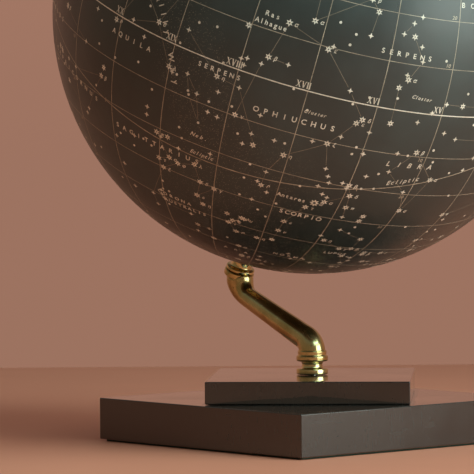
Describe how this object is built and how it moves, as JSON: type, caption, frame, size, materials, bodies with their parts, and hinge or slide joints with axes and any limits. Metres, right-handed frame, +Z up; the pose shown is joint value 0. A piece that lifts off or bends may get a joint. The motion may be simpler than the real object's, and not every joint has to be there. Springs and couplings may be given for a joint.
{
  "type": "celestial globe",
  "caption": "Table celestial globe: a dark varnished star globe spins on a tilted axle, held from below by a brass S-arm on a stepped square black base.",
  "frame": {"origin": "middle of the underside of the felt, at the bottom of the base", "axes": "+Z up; the lower plinth's sides lie along X and Y; the S-arm lies in the XZ plane and the north pole leans towards +X"},
  "size_m": [0.3036, 0.3042, 0.4049],
  "materials": {
    "printed_paper": "near-black teal print with cream lines, under gloss varnish",
    "black_lacquer": "polished black lacquer on hardwood",
    "polished_brass": "polished and lacquered",
    "green_felt": "napped felt",
    "bright_steel": "bright drawn",
    "zinc_plated_steel": "zinc plated",
    "pasteboard": "raw pasteboard",
    "beech": "turned, unfinished",
    "red_fibre": "vulcanised fibre, smooth"
  },
  "bodies": {
    "stand": {"felt_pad": "green_felt", "lower_plinth": "black_lacquer", "upper_plinth": "black_lacquer", "plinth_screw_1": "zinc_plated_steel", "plinth_screw_2": "zinc_plated_steel", "plinth_screw_3": "zinc_plated_steel", "plinth_screw_4": "zinc_plated_steel", "base_stud": "bright_steel", "stud_washer": "zinc_plated_steel", "stud_nut": "zinc_plated_steel", "foot_spool": "polished_brass", "s_arm": "polished_brass", "axle_rod": "bright_steel", "axle_spool": "polished_brass", "thrust_washer": "red_fibre", "spring_washer": "bright_steel", "plain_washer": "polished_brass", "finial_nut": "polished_brass"},
    "globe": {"north_shell": "pasteboard", "south_shell": "pasteboard", "seam_hoop": "pasteboard", "gore_01": "printed_paper", "gore_02": "printed_paper", "gore_03": "printed_paper", "gore_04": "printed_paper", "gore_05": "printed_paper", "gore_06": "printed_paper", "gore_07": "printed_paper", "gore_08": "printed_paper", "gore_09": "printed_paper", "gore_10": "printed_paper", "gore_11": "printed_paper", "gore_12": "printed_paper", "north_map_cap": "printed_paper", "south_map_cap": "printed_paper", "north_pole_block": "beech", "south_pole_block": "beech", "centre_pillar": "beech", "north_pole_bush": "polished_brass", "south_pole_bush": "polished_brass"}
  },
  "joints": [
    {"name": "globe_spin", "type": "hinge", "parent": "stand", "child": "globe", "pos_m": [0.0029, 0, 0.2508], "axis": [0.4035, 0, 0.915], "continuous": true}
  ]
}
